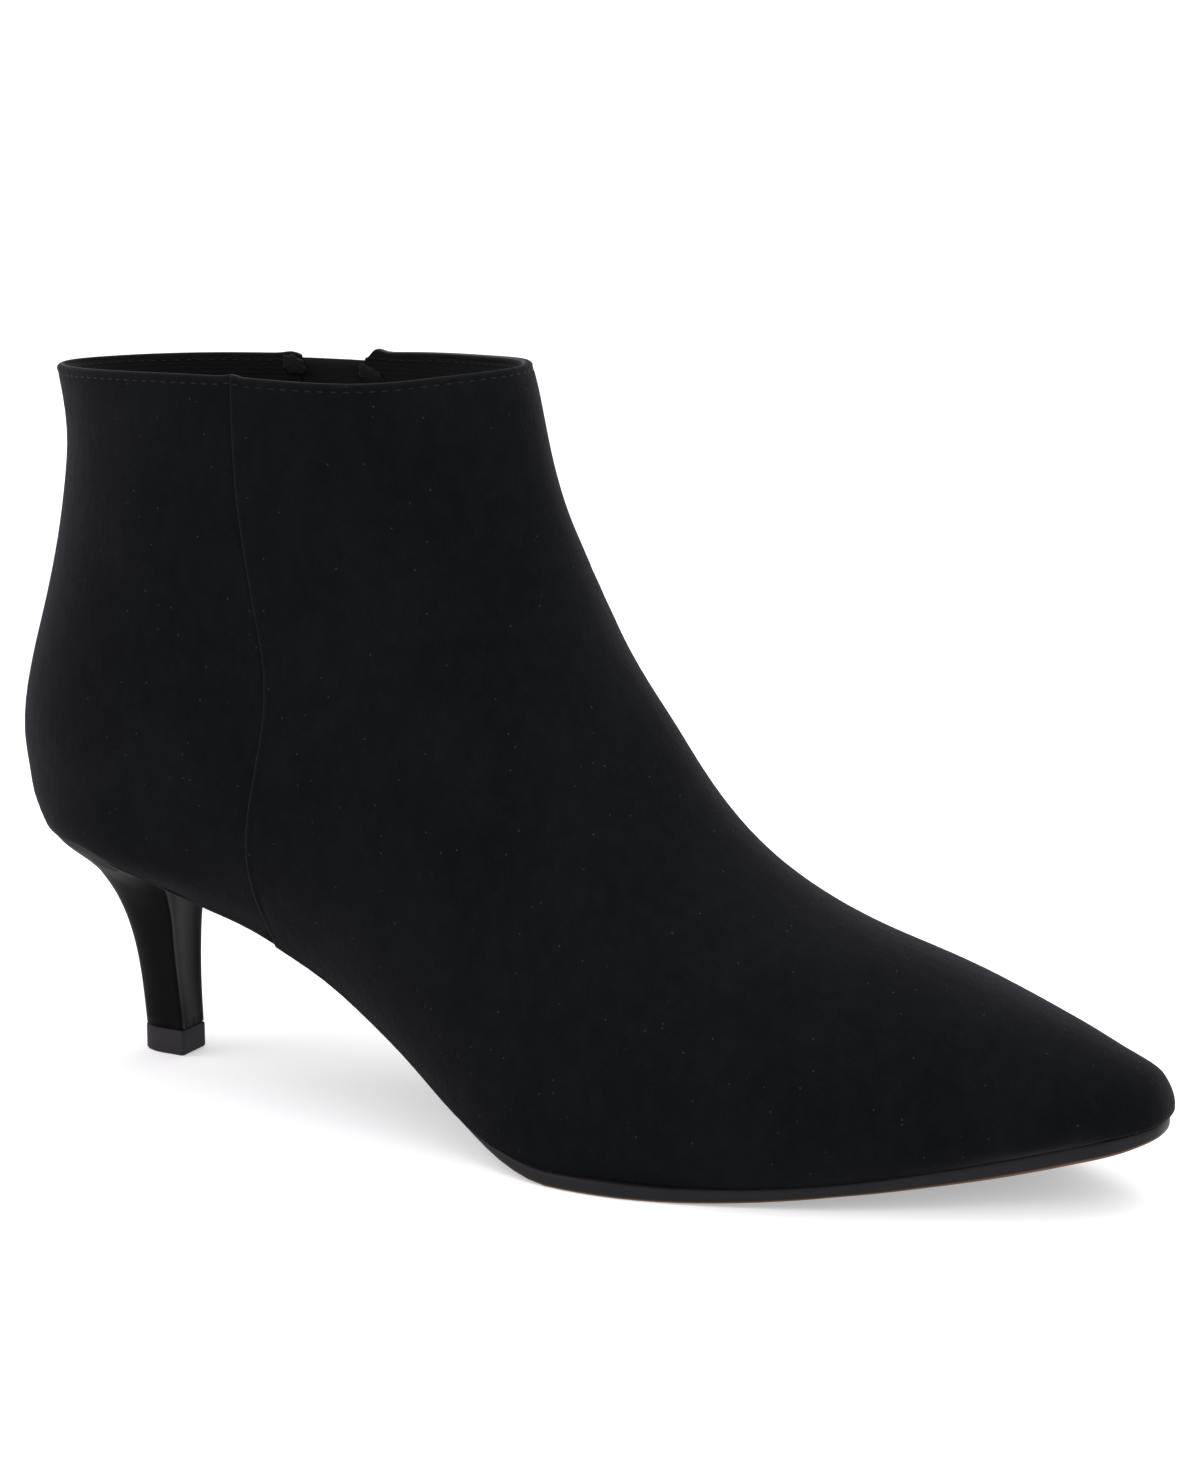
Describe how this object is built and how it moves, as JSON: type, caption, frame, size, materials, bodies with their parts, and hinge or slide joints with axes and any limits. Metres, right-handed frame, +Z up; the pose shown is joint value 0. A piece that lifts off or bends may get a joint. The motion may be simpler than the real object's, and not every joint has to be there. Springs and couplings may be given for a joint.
{
  "type": "mid heel bootie",
  "caption": "Right ankle bootie in black suede with a pointed toe, thin sole, slim curved mid heel with a rubber top piece, and an inside zip with a hinged pull tab.",
  "frame": {"origin": "centre of the floor of the shoe's bounding box, where it stands", "axes": "+X towards the toe, +Y towards the inner side of the foot, +Z up"},
  "size_m": [0.2504, 0.0814, 0.1487],
  "materials": {
    "black_suede": "short-napped black suede over a thin lining",
    "sole_rubber": "smooth satin edge",
    "insole_sock": "matte sock lining",
    "heel_wrap": "satin wrap with a glossy breast",
    "top_piece_rubber": "matte moulded rubber",
    "zip_cloth": "woven tape",
    "zip_coil": "closed coil teeth",
    "zip_metal": "dark plated metal"
  },
  "bodies": {
    "shoe": {"upper": "black_suede", "outsole": "sole_rubber", "insole": "insole_sock", "heel": "heel_wrap", "heel_tip": "top_piece_rubber", "zip_tape": "zip_cloth", "zip_chain": "zip_coil", "zip_slider": "zip_metal"},
    "pull": {"zip_pull": "zip_metal"}
  },
  "joints": [
    {"name": "pull_hinge", "type": "hinge", "parent": "shoe", "child": "pull", "pos_m": [-0.0713, 0.03696, 0.13619], "axis": [0.9937, 0.1069, 0.0338], "range_deg": [0, 170]}
  ]
}
